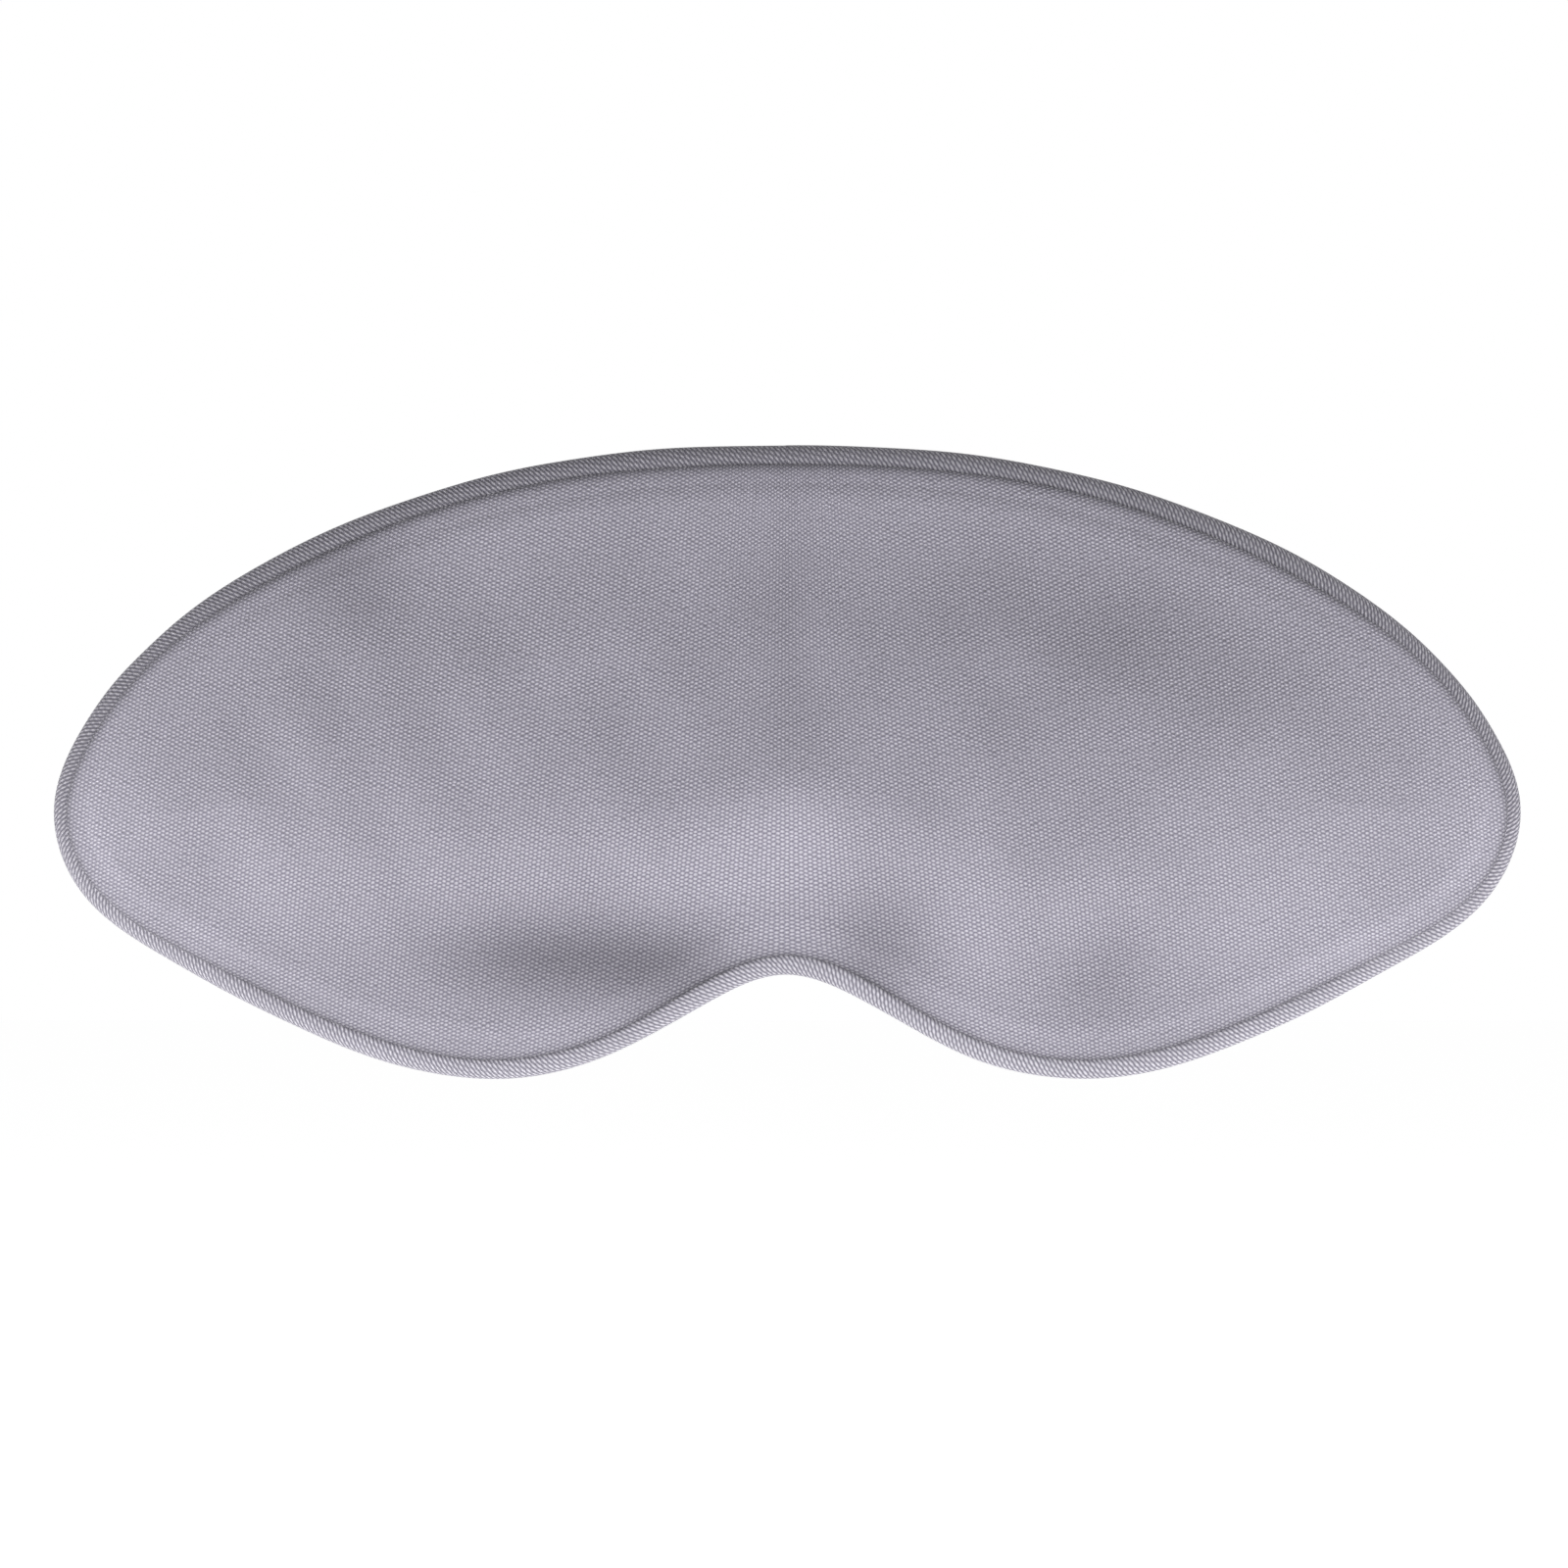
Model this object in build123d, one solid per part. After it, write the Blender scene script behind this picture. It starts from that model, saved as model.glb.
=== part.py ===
from build123d import *
import os
from math import atan2, cos, degrees, exp, hypot, radians, sin

# Contoured sleep eye mask on an adjustable elastic strap. Millimetres.
# +Z is up and +Y points at the wearer's face, so the outer shell looks along -Y and the
# wearer's left side is +X. The origin is on the lining's face side, on the symmetry plane,
# level with the strap. The strap loop lies behind the pad and swings about a line along X.

# Pad outline: half of it, from the top middle round to the middle of the nose notch
HALF_OUTLINE = [
    (0, 58.9),
    (40, 55.9),
    (75, 45.0),
    (100, 30.2),
    (115.8, 12.0),
    (119.9, 0),
    (116.4, -12.0),
    (100, -25.2),
    (75, -37.6),
    (47, -43.9),
    (29, -40.1),
    (13, -31.5),
    (0, -26.9),
]
HALF_WIDTH = 120
INSET_SAMPLES = 84
BINDING_LENGTHS = 4

# Pad depth: the ends wrap back round the head, and the front domes out over each eye
WRAP_DEPTH = 22
EDGE_THICKNESS = 5.4
DOME_DEPTH = 13
DOME_X = 52
DOME_Z = 4
DOME_HALF_WIDTH = 40
DOME_HALF_HEIGHT = 28
SURFACE_X = 126
SURFACE_Z = 66
SURFACE_STEPS_X = 24
SURFACE_STEPS_Z = 14

# Layers, from the outside in
SHELL_THICKNESS = 1.4
BLACKOUT_THICKNESS = 0.4
LINING_THICKNESS = 1.0
LAYER_GAP = 0.03
SEAT_GAP = 0.05

# Binding, rolled round the edge
BINDING_RADIUS = 2.4
PAD_GAP = 0.2
PAD_INSET = 2 * BINDING_RADIUS + PAD_GAP

# Face-side padding
EYE_X = 34
EYE_Z = 5
EYE_RADIUS_X = 23
EYE_RADIUS_Z = 17.5
CUSHION_RADIUS = 5.5
CUSHION_LIFT = 1.5
SEAL_RADIUS = 3.2
SEAL_LIFT = 0.8
SEAL_HALF_WIDTH = 21
SEAL_END_Z = -24
SEAL_TOP_Z = -14.5

# Elastic strap
STRAP_WIDTH = 20
STRAP_THICKNESS = 1.2
STRAP_CORNER = 0.4
STRAP_LEAN = 12
STRAP_SIDE = 72
STRAP_BEND = 45
HINGE_X = 106
HINGE_Y = 38
ROOT_X = 92.5
ROOT_FLAT = 13.5
ROOT_BEND = 4
ROOT_GAP = 0.4
PATCH_X = 98.5
PATCH_WIDTH = 16
PATCH_HEIGHT = 23
PATCH_CORNER = 3
PATCH_THICKNESS = 0.8

# Adjuster: distances along the strap's side start at the hinge line
RING_CENTRE = 17
RING_LENGTH = 8
RING_RADIUS = 1.5
RING_CORNER = 3
WRAP_RADIUS = RING_RADIUS + 0.15 + STRAP_THICKNESS / 2
RETURN_OFFSET = 2 * WRAP_RADIUS
TAB_RETURN = 9
BAND_END = 2
SLIDER_CENTRE = 46
SLIDER_LENGTH = 16
SLIDER_BAR_WIDTH = 2.4
SLIDER_BAR_THICKNESS = 1.4
SLIDER_BAR_RADIUS = 0.8
SLIDER_FILLET = 0.6
RAIL_WIDTH = 2.8
RAIL_Z = 12.2
LOOP_RADIUS = SLIDER_BAR_RADIUS + 0.1 + STRAP_THICKNESS / 2
LOOP_LEAD = 8
LOOP_TAIL = 7
STRAND_GAP = 0.3

# Sewing thread
THREAD_RADIUS = 0.3
STITCH_LENGTH = 2.6
STITCH_LIFT = THREAD_RADIUS + 0.05
BINDING_STITCHES = 56
BINDING_STITCH_INSET = 6.2
ROOT_STITCH_PITCH = 4

UP = Vector(0, 0, 1)
BACK = Vector(0, 1, 0)
FAR = 80


def outline_curve():
    """The pad's outer edge, as one closed curve in the XZ plane."""
    left_half = [(x, 0, z) for x, z in HALF_OUTLINE]
    right_half = [(-x, 0, z) for x, z in HALF_OUTLINE[-2:0:-1]]
    return Spline(*left_half, *right_half, periodic=True)


def inset_points(inset, depth):
    """Points round the outline, moved inwards by inset, at the depth that depth(x) gives."""
    curve = outline_curve()
    points = []
    for i in range(INSET_SAMPLES):
        place = curve.position_at(i / INSET_SAMPLES)
        inwards = curve.tangent_at(i / INSET_SAMPLES).cross(BACK).normalized()
        moved = place - inwards * inset
        points.append((moved.X, depth(moved.X), moved.Z))
    return points


def inset_curve(inset, depth):
    """The closed curve through those points."""
    return Spline(*inset_points(inset, depth), periodic=True)


def left_curve(inset, depth):
    """The left half of that curve, from the top middle to the middle of the nose notch."""
    first, *between, last = inset_points(inset, depth)[:INSET_SAMPLES // 2 + 1]
    first = (0, first[1], first[2])
    last = (0, last[1], last[2])
    ends = {"tangents": [(1, 0, 0), (-1, 0, 0)], "tangent_scalars": [1, 1]}
    return Spline(first, *between, last, **ends)


def back_depth(x):
    """How far back the lining's face side lies at x."""
    return WRAP_DEPTH * (x / HALF_WIDTH) ** 2


def edge_depth(x):
    """The depth of the middle of the bound edge."""
    return back_depth(x) - EDGE_THICKNESS / 2


def front_depth(x, z):
    """The depth of the outer shell's front, domed over each eye."""
    dome = 0
    for side in (-1, 1):
        across = (x - side * DOME_X) / DOME_HALF_WIDTH
        up = (z - DOME_Z) / DOME_HALF_HEIGHT
        dome += DOME_DEPTH * exp(-(across**2) - up**2)
    return back_depth(x) - EDGE_THICKNESS - dome


def front_surface(offset):
    """The shell's front surface, moved back by offset."""
    rows = []
    for i in range(SURFACE_STEPS_X + 1):
        x = SURFACE_X * (2 * i / SURFACE_STEPS_X - 1)
        row = []
        for j in range(SURFACE_STEPS_Z + 1):
            z = SURFACE_Z * (2 * j / SURFACE_STEPS_Z - 1)
            row.append(Vector(x, front_depth(x, z) + offset, z))
        rows.append(row)
    return Face.make_surface_from_array_of_points(rows)


def behind_front(offset, depth):
    """The slab of the given depth that starts at the shell's front, moved back by offset."""
    return extrude(front_surface(offset), amount=depth, dir=BACK)


def before_back(offset):
    """Everything in front of the lining's face side, moved back by offset."""
    steps = range(-6, 7)
    xs = [SURFACE_X * i / 6 for i in steps]
    curve = Spline(*[(x, back_depth(x) + offset, -FAR) for x in xs])
    sides = Polyline(curve @ 1, (SURFACE_X, -FAR, -FAR), (-SURFACE_X, -FAR, -FAR), curve @ 0)
    return extrude(make_face([curve, sides]), amount=2 * FAR, dir=UP)


def pad_prism():
    """The pad's plan inside the binding, as a prism along Y."""
    curve = inset_curve(PAD_INSET, lambda x: 0)
    return extrude(make_face(curve), amount=FAR, dir=BACK, both=True)


def pad_layers():
    """Outer shell, blackout layer, foam core and inner lining."""
    prism = pad_prism()
    blackout_offset = SHELL_THICKNESS + LAYER_GAP
    foam_offset = blackout_offset + BLACKOUT_THICKNESS + LAYER_GAP
    foam_back = -LINING_THICKNESS - LAYER_GAP
    return {
        "outer_shell": prism & behind_front(0, SHELL_THICKNESS),
        "blackout_layer": prism & behind_front(blackout_offset, BLACKOUT_THICKNESS),
        "foam_core": prism & behind_front(foam_offset, FAR) & before_back(foam_back),
        "inner_lining": prism & (before_back(0) - before_back(-LINING_THICKNESS)),
    }


def tube(path, radius):
    """A round bar along path."""
    return sweep(Plane(origin=path @ 0, z_dir=path % 0) * Circle(radius), path=path)


def edge_binding():
    """The tape rolled round the pad's whole edge, swept in a few lengths to each side."""
    curve = left_curve(BINDING_RADIUS, edge_depth)
    lengths = range(BINDING_LENGTHS)
    path = Wire([curve.trim(i / BINDING_LENGTHS, (i + 1) / BINDING_LENGTHS) for i in lengths])
    half = tube(path, BINDING_RADIUS)
    return half + mirror(half, about=Plane.YZ)


def eye_cushion():
    """The oval cushion round the wearer's left eye, seated on the lining."""
    rise = 2 * back_depth(EYE_X)
    centre = (EYE_X, back_depth(EYE_X) + CUSHION_LIFT, EYE_Z)
    seat = Plane(origin=centre, x_dir=(EYE_X, rise, 0), z_dir=(rise, -EYE_X, 0))
    oval = Edge.make_ellipse(EYE_RADIUS_X, EYE_RADIUS_Z, plane=seat)
    return tube(oval, CUSHION_RADIUS) - before_back(LAYER_GAP)


def nose_seal():
    """The soft ridge that follows the nose notch on the face side."""
    end = (SEAL_HALF_WIDTH, SEAL_LIFT, SEAL_END_Z)
    other_end = (-SEAL_HALF_WIDTH, SEAL_LIFT, SEAL_END_Z)
    ridge = tube(ThreePointArc(end, (0, SEAL_LIFT, SEAL_TOP_Z), other_end), SEAL_RADIUS)
    return ridge - before_back(LAYER_GAP)


def strap_patch():
    """The patch on the lining that backs the strap's sewn end."""
    plane = Plane(origin=(PATCH_X, 0, 0), x_dir=(1, 0, 0), z_dir=(0, 1, 0))
    prism = extrude(plane * RectangleRounded(PATCH_WIDTH, PATCH_HEIGHT, PATCH_CORNER), amount=FAR)
    slab = before_back(LAYER_GAP + PATCH_THICKNESS) - before_back(LAYER_GAP)
    return prism & slab


def plan_path(start, heading, moves):
    """Straights (length,) and bends (radius, turn in degrees) joined in plan, each leaving
    on the heading that the last one ended with."""
    point = Vector(*start)
    direction = Vector(cos(radians(heading)), sin(radians(heading)), 0)
    edges = []
    for move in moves:
        if len(move) == 1:
            edge = Line(point, point + direction * move[0])
        else:
            edge = JernArc(point, direction, move[0], move[1])
        edges.append(edge)
        point = edge @ 1
        direction = edge % 1
    return Wire(edges)


def strip(path):
    """The elastic band along a plan path, standing on edge."""
    section = Plane(origin=path @ 0, x_dir=UP, z_dir=path % 0)
    return sweep(section * RectangleRounded(STRAP_WIDTH, STRAP_THICKNESS, STRAP_CORNER), path=path)


def side_point(along, inwards=0):
    """A point on the strap's left side: along it from the hinge line, and inwards from it."""
    lean = radians(STRAP_LEAN)
    x = HINGE_X - along * sin(lean) - inwards * cos(lean)
    y = HINGE_Y + along * cos(lean) - inwards * sin(lean)
    return Vector(x, y, 0)


def side_plane(along, inwards=0):
    """X runs back along the strap's left side, Y runs down and Z runs inwards."""
    x_dir = side_point(1) - side_point(0)
    z_dir = side_point(0, 1) - side_point(0)
    return Plane(origin=side_point(along, inwards), x_dir=x_dir, z_dir=z_dir)


def pivot_corners():
    """What the strap loses at the hinge line, where its end is a half circle."""
    half_width = STRAP_WIDTH / 2
    block = Pos(-half_width, 0, 0) * Box(2 * half_width, STRAP_WIDTH + 1, 2 * STRAP_THICKNESS)
    return side_plane(0) * (block - Cylinder(half_width, 3 * STRAP_THICKNESS))


def strap_root():
    """The strap's sewn end: flat on the patch, then bent back to just short of the pivot."""
    lift = LAYER_GAP + PATCH_THICKNESS + SEAT_GAP + STRAP_THICKNESS / 2
    end_x = ROOT_X + ROOT_FLAT
    rise = back_depth(end_x) - back_depth(ROOT_X)
    heading = degrees(atan2(rise, ROOT_FLAT))
    flat = hypot(rise, ROOT_FLAT)
    turn = 90 + STRAP_LEAN - heading
    start = (ROOT_X, back_depth(ROOT_X) + lift + SEAT_GAP)
    bent = plan_path(start, heading, [(flat,), (ROOT_BEND, turn)])
    straight = side_point(-STRAP_WIDTH / 2 - ROOT_GAP) - (bent @ 1)
    return strip(plan_path(start, heading, [(flat,), (ROOT_BEND, turn), (straight.length,)]))


def strap_band():
    """The long band: from the right pivot round the head and through the ring."""
    lean = radians(STRAP_LEAN)
    first = side_point(-STRAP_WIDTH / 2)
    bend = (STRAP_BEND, STRAP_LEAN - 90)
    back = 2 * (HINGE_X - STRAP_SIDE * sin(lean) - STRAP_BEND * cos(lean))
    ring_bar = RING_CENTRE + RING_LENGTH / 2
    moves = [
        (STRAP_WIDTH / 2 + STRAP_SIDE,),
        bend,
        (back,),
        bend,
        (STRAP_SIDE - ring_bar,),
        (WRAP_RADIUS, -180),
        (BAND_END,),
    ]
    path = plan_path((-first.X, first.Y), 90 - STRAP_LEAN, moves)
    return strip(path) - mirror(pivot_corners(), about=Plane.YZ)


def ring_tab():
    """The short tab that holds the ring: out from the left pivot, round the bar and back."""
    first = side_point(-STRAP_WIDTH / 2)
    out = STRAP_WIDTH / 2 + RING_CENTRE - RING_LENGTH / 2
    moves = [(out,), (WRAP_RADIUS, 180), (TAB_RETURN,)]
    path = plan_path((first.X, first.Y), 90 + STRAP_LEAN, moves)
    return strip(path) - pivot_corners()


def adjuster_ring():
    """The moulded ring between the tab and the band."""
    plane = side_plane(RING_CENTRE, WRAP_RADIUS)
    wire = (plane * RectangleRounded(RING_LENGTH, 2 * RAIL_Z, RING_CORNER)).wire()
    return tube(wire, RING_RADIUS)


def adjuster_slider():
    """The three-bar slider: two end bars outside the band, and the centre bar inside it."""
    bar_height = 2 * RAIL_Z
    outside = -(STRAP_THICKNESS / 2 + STRAND_GAP + SLIDER_BAR_THICKNESS / 2)
    inside = centre_bar_offset()
    rail_low = outside - SLIDER_BAR_THICKNESS / 2
    rail_high = inside + SLIDER_BAR_RADIUS
    rail = Box(SLIDER_LENGTH, RAIL_WIDTH, rail_high - rail_low)
    rail = fillet(rail.edges(), SLIDER_FILLET)
    body = Rot(90, 0, 0) * Cylinder(SLIDER_BAR_RADIUS, bar_height)
    body = Pos(0, 0, inside) * body
    for side in (-1, 1):
        body += Pos(0, side * RAIL_Z, (rail_high + rail_low) / 2) * rail
        end = side * (SLIDER_LENGTH - SLIDER_BAR_WIDTH) / 2
        bar = Box(SLIDER_BAR_WIDTH, bar_height, SLIDER_BAR_THICKNESS)
        bar = fillet(bar.edges().filter_by(Axis.Y), SLIDER_FILLET)
        body += Pos(end, 0, outside) * bar
    return side_plane(SLIDER_CENTRE) * body


def centre_bar_offset():
    """How far inwards of the band the slider's centre bar lies, under the return strand."""
    return RETURN_OFFSET - LOOP_RADIUS


def strap_return():
    """The strand from the ring back to the slider, inside the band."""
    start = RING_CENTRE + RING_LENGTH / 2 + BAND_END + STRAND_GAP
    end = SLIDER_CENTRE - LOOP_LEAD - STRAND_GAP
    first = side_point(start, RETURN_OFFSET)
    return strip(plan_path((first.X, first.Y), 90 + STRAP_LEAN, [(end - start,)]))


def strap_end_loop():
    """The strap's end, sewn back on itself round the slider's centre bar."""
    first = side_point(SLIDER_CENTRE - LOOP_LEAD, RETURN_OFFSET)
    moves = [(LOOP_LEAD,), (LOOP_RADIUS, -180), (LOOP_TAIL,)]
    return strip(plan_path((first.X, first.Y), 90 + STRAP_LEAN, moves))


def stitch(place, direction):
    """One short length of thread lying along direction."""
    return Plane(origin=place, z_dir=direction) * Cylinder(THREAD_RADIUS, STITCH_LENGTH)


def binding_stitches():
    """The row of stitches that closes the binding on the lining."""
    row = inset_curve(BINDING_STITCH_INSET, lambda x: back_depth(x) + STITCH_LIFT)
    spots = [i / BINDING_STITCHES for i in range(BINDING_STITCHES)]
    return Compound([stitch(row @ spot, row % spot) for spot in spots])


def stitch_row(plane, across, rows):
    """Rows of stitches across a strip: rows lists how far along the strip each one lies."""
    count = int(across / ROOT_STITCH_PITCH)
    stitches = []
    for along in rows:
        for i in range(count + 1):
            height = ROOT_STITCH_PITCH * (i - count / 2)
            stitches.append(stitch(plane.from_local_coords((along, height, 0)), UP))
    return Compound(stitches)


def root_stitches():
    """Two rows of stitches through the strap's sewn end."""
    lift = LAYER_GAP + PATCH_THICKNESS + 2 * SEAT_GAP + STRAP_THICKNESS
    rise = back_depth(ROOT_X + ROOT_FLAT) - back_depth(ROOT_X)
    along = Vector(ROOT_FLAT, rise, 0).normalized()
    face = UP.cross(along)
    start = Vector(ROOT_X, back_depth(ROOT_X) + lift + STITCH_LIFT, 0)
    plane = Plane(origin=start, x_dir=along, z_dir=face)
    return stitch_row(plane, STRAP_WIDTH - ROOT_STITCH_PITCH, (2, ROOT_FLAT - 3))


def fold_stitches(along):
    """Two rows of stitches on the inner face of a fold that ends at along."""
    plane = side_plane(along, RETURN_OFFSET + STRAP_THICKNESS / 2 + STITCH_LIFT)
    return stitch_row(plane, STRAP_WIDTH - ROOT_STITCH_PITCH, (0, 2))


def strap_parts():
    """Everything on the strap's side of the hinge line, and the ends sewn to the pad."""
    return {
        "strap_band": strap_band(),
        "ring_tab": ring_tab(),
        "tab_stitches": fold_stitches(RING_CENTRE - RING_LENGTH / 2 - TAB_RETURN + 2),
        "adjuster_ring": adjuster_ring(),
        "adjuster_slider": adjuster_slider(),
        "strap_return": strap_return(),
        "strap_end_loop": strap_end_loop(),
        "loop_stitches": fold_stitches(SLIDER_CENTRE - LOOP_TAIL),
    }


def paired_parts():
    """Parts made for the wearer's left side and mirrored for the right."""
    left = {
        "eye_cushion": eye_cushion(),
        "strap_patch": strap_patch(),
        "strap_root": strap_root(),
        "root_stitches": root_stitches(),
    }
    parts = {}
    for name, solid in left.items():
        parts[name + "_left"] = solid
        parts[name + "_right"] = mirror(solid, about=Plane.YZ)
    return parts


def main():
    os.makedirs("parts", exist_ok=True)
    parts = pad_layers() | paired_parts() | strap_parts()
    parts["edge_binding"] = edge_binding()
    parts["nose_seal"] = nose_seal()
    parts["binding_stitches"] = binding_stitches()
    for name, solid in parts.items():
        export_step(solid, f"parts/{name}.step")


main()
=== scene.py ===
"""Looks of the contoured sleep eye mask: padded knit pad, rolled edge and elastic strap."""

from math import atan2, cos, degrees, hypot, pi, radians, sin

import bpy
import numpy as np
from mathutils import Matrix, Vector, kdtree


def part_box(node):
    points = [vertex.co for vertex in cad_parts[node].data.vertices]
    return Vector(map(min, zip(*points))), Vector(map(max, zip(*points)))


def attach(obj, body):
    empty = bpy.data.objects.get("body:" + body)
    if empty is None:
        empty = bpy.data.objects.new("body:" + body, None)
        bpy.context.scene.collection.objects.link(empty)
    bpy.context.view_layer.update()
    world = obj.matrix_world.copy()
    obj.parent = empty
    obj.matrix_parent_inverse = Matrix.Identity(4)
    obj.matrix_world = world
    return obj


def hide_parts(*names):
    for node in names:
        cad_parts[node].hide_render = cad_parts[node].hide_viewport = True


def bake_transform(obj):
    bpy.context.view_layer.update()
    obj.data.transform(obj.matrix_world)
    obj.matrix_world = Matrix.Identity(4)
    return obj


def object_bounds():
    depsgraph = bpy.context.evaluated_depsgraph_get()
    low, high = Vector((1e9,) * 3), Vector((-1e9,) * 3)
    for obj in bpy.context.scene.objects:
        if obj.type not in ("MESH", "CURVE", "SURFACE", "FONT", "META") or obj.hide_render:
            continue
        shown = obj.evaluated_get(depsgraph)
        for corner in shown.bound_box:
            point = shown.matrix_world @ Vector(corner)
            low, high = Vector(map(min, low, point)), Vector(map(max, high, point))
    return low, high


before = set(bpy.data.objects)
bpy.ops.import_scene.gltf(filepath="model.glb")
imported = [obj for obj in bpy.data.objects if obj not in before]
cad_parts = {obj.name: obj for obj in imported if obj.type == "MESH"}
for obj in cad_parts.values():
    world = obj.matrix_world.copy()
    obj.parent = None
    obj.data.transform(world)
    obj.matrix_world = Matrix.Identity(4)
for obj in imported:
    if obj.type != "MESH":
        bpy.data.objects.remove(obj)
cad_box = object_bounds()

# The pad's outline and depth, in metres: the same design as the CAD part
HALF_OUTLINE = [
    (0, 0.0589),
    (0.040, 0.0559),
    (0.075, 0.0450),
    (0.100, 0.0302),
    (0.1158, 0.0120),
    (0.1199, 0),
    (0.1164, -0.0120),
    (0.100, -0.0252),
    (0.075, -0.0376),
    (0.047, -0.0439),
    (0.029, -0.0401),
    (0.013, -0.0315),
    (0, -0.0269),
]
HALF_LENGTH = 0.120
WRAP_DEPTH = 0.022
EDGE_THICKNESS = 0.0054
OUTLINE_STEPS = 1440

# Binding: swellings where it laps over itself, and waves (share of the radius, rate, start)
BINDING_RADIUS = 0.0024
BINDING_AROUND = 36
LAP_PLACES = (0.1100, -0.1080)
LAP_SWELL = 0.07
LAP_LENGTH = 0.0035
BINDING_WAVES = [(0.025, 95, 0), (0.02, 233, 1.1)]
# Painted light and shade on the binding: darker towards its top and lighter towards its bottom, by
# this share, over this height
BINDING_PAINTED_SHADE_SWING = 0.24
BINDING_PAINTED_SHADE_RUN = 0.015

# The pad's rim: the shell's edge lies inside the outline, and less so at the two ends
SHELL_INSET = 0.0028
SHELL_END_SPREAD = 0.0009
END_SPREAD_START = 0.085
END_SPREAD_RUN = 0.025
RIM_WIDTH = 0.0065
RIM_HEIGHT = 0.0064
RIM_OVERHANG = 0.0012
RIM_OVERHANG_REACH = 0.0034
SHELL_TUCK = 0.0018
SHELL_GRID = (641, 281)

# Layers behind the shell: how far inside its edge each one ends, and how each one rises
BLACKOUT_EDGE = 0.0015
BLACKOUT_SETBACK = 0.0009
BLACKOUT_RISE = 0.0014
FOAM_EDGE = 0.0016
FOAM_SETBACK = 0.0022
FOAM_BACK_RISE = 0.0010
INNER_RIM_HEIGHT = RIM_HEIGHT - 0.0015
INNER_GRID = (161, 81)
LINING_EDGE = 0.0008
LINING_RIM_WIDTH = 0.006
LINING_RIM_HEIGHT = 0.0030
LINING_WAVE = 0.00025
LINING_WAVE_FADE = 0.02
LINING_GRID = (321, 141)

# Front: a dome over each eye, then dents and swells (X, Z, half-widths, height) and waves
DOME_DEPTH = 0.0108
DOME_X = 0.052
DOME_Z = 0.003
DOME_HALF_WIDTH = 0.047
DOME_HALF_HEIGHT = 0.036
RELIEF_SPOTS = [
    (0, -0.003, 0.017, 0.015, 0.0028),
    (-0.071, 0.030, 0.010, 0.009, 0.0024),
    (-0.040, -0.018, 0.022, 0.010, -0.0055),
    (0.036, -0.018, 0.008, 0.018, 0.0015),
    (0.050, -0.023, 0.008, 0.009, -0.0030),
    (0, 0.040, 0.0035, 0.022, -0.0008),
]
BROAD_WAVE = 0.00035
FINE_WAVE = 0.00020
RELIEF_FADE = 0.030

# Face-side padding
EYE_X = 0.034
EYE_Z = 0.005
EYE_RADIUS_X = 0.023
EYE_RADIUS_Z = 0.0175
CUSHION_RADIUS = 0.0055
CUSHION_LIFT = 0.0015
SEAL_END = (0.021, -0.024)
SEAL_TOP_Z = -0.0145
SEAL_RADIUS = 0.0032
SEAL_LIFT = 0.0002
PUFFS = [(0.02, 9, 0), (0.015, 23, 0.5)]
GATHERS = 64
GATHER_DEPTH = 0.02
CUSHION_FLATTENING = 0.98

# Strap: distances along its straight sides start at the hinge line
STRAP_WIDTH = 0.020
STRAP_THICKNESS = 0.0012
STRAP_LEAN = 12
STRAP_SIDE = 0.072
STRAP_BEND = 0.045
HINGE_X = 0.106
HINGE_Y = 0.038
ROOT_X = 0.0925
ROOT_FLAT = 0.0135
ROOT_BEND = 0.004
ROOT_GAP = 0.00018
PATCH_THICKNESS = 0.0008
PATCH_CORNER = 0.003
PATCH_EASE = 0.0008
RING_CENTRE = 0.017
RING_LENGTH = 0.008
WRAP_RADIUS = 0.00225
TAB_RETURN = 0.009
SLIDER_CENTRE = 0.046
LOOP_RADIUS = 0.0015
LOOP_TAIL = 0.007
BAND_END = 0.002
PATH_STEP = 0.0012
STRAND_STEP = 0.0006
BORDER_THINNING = 0.75

# Sewing: stitch lengths and thread radii, and how the stitches are spread
BINDING_STITCH = (0.0026, 0.00026)
BINDING_STITCH_INSET = 0.0058
BINDING_STITCH_COUNT = 160
BINDING_STITCH_LIFT = 0.0001
ROOT_STITCH = (0.0015, 0.00022)
ROOT_STITCH_MIDDLE = 0.0065
ROOT_STITCH_LIFT = 0.0002
ROOT_BOX = (0.0046, 0.0078)
ROOT_STITCH_PITCH = 0.0019
FOLD_STITCH = (0.0011, 0.00020)
FOLD_STITCH_PITCH = 0.0014
FOLD_STITCH_COUNT = 13
FOLD_ROWS = (0, 0.0016)

# Fabrics, in metres between ribs, pebbles, cords, picks and turns of the thread
RIB_PITCH = 0.00069
PEBBLE_PITCH = 0.00067
GRAIN_LEAN = 0.11
GRAIN_SPREAD = 0.012
CORD_PITCH = 0.0012
PICK_PITCH = 0.0008
PLY_PITCH = 0.0006
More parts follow.
